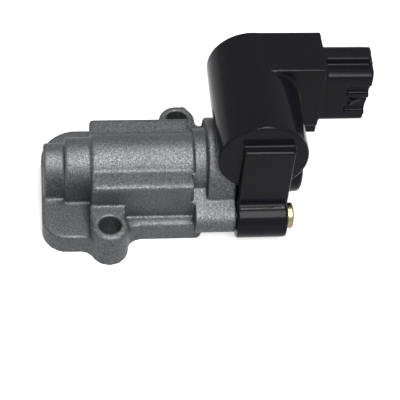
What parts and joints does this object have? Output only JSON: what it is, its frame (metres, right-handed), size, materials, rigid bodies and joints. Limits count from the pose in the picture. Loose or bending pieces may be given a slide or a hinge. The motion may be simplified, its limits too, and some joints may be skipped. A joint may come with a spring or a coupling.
{
  "type": "idle air control valve",
  "caption": "Idle air control valve: flanged cast body with stepped barrel and air ports, rotary drum valve on a shaft, moulded solenoid housing with angled connector.",
  "frame": {"origin": "on the mounting face, midway between the two mounting holes", "axes": "+X along the valve bore towards the solenoid and connector, +Y across the bore away from the camera side, +Z out of the mounting face through the body"},
  "size_m": [0.101, 0.0542, 0.0447],
  "materials": {
    "cast_alloy": "sand-cast, blasted, matt grey",
    "black_moulding": "glass-filled nylon, satin to glossy",
    "black_rubber": "smooth moulded rubber",
    "turned_alloy": "turned, bright",
    "ground_steel": "ground",
    "bearing_steel": "ground",
    "ball_steel": "polished",
    "pressed_steel": "zinc plated sheet",
    "bimetal": "rolled strip",
    "cream_plastic": "natural nylon",
    "magnet": "sintered, dark grey",
    "core_iron": "plain soft iron",
    "copper_wire": "enamelled copper wire",
    "tinned_brass": "tin plated",
    "yellow_zinc": "yellow passivated zinc on steel"
  },
  "bodies": {
    "housing": {"valve_body": "cast_alloy", "mount_gasket": "black_rubber", "rear_bearing_outer": "bearing_steel", "rear_bearing_balls": "ball_steel", "front_bearing_outer": "bearing_steel", "front_bearing_balls": "ball_steel", "shaft_seal": "black_rubber", "stop_plate": "pressed_steel", "bimetal_coil": "bimetal", "core_rod": "core_iron", "near_yoke": "core_iron", "far_yoke": "core_iron", "coil_bobbin": "cream_plastic", "coil_winding": "copper_wire", "coil_cover": "black_moulding", "cover_o_ring": "black_rubber", "terminal_1": "tinned_brass", "terminal_2": "tinned_brass", "terminal_3": "tinned_brass", "cover_screw_near": "yellow_zinc", "cover_screw_far": "yellow_zinc"},
    "rotor": {"rotary_valve": "turned_alloy", "valve_shaft": "ground_steel", "rear_bearing_inner": "bearing_steel", "front_bearing_inner": "bearing_steel", "stop_lever": "pressed_steel", "magnet_hub": "cream_plastic", "rotor_magnet": "magnet"}
  },
  "joints": [
    {"name": "valve_turn", "type": "hinge", "parent": "housing", "child": "rotor", "pos_m": [0, 0, 0.0153], "axis": [1, 0, 0], "range_deg": [-30, 30]}
  ]
}
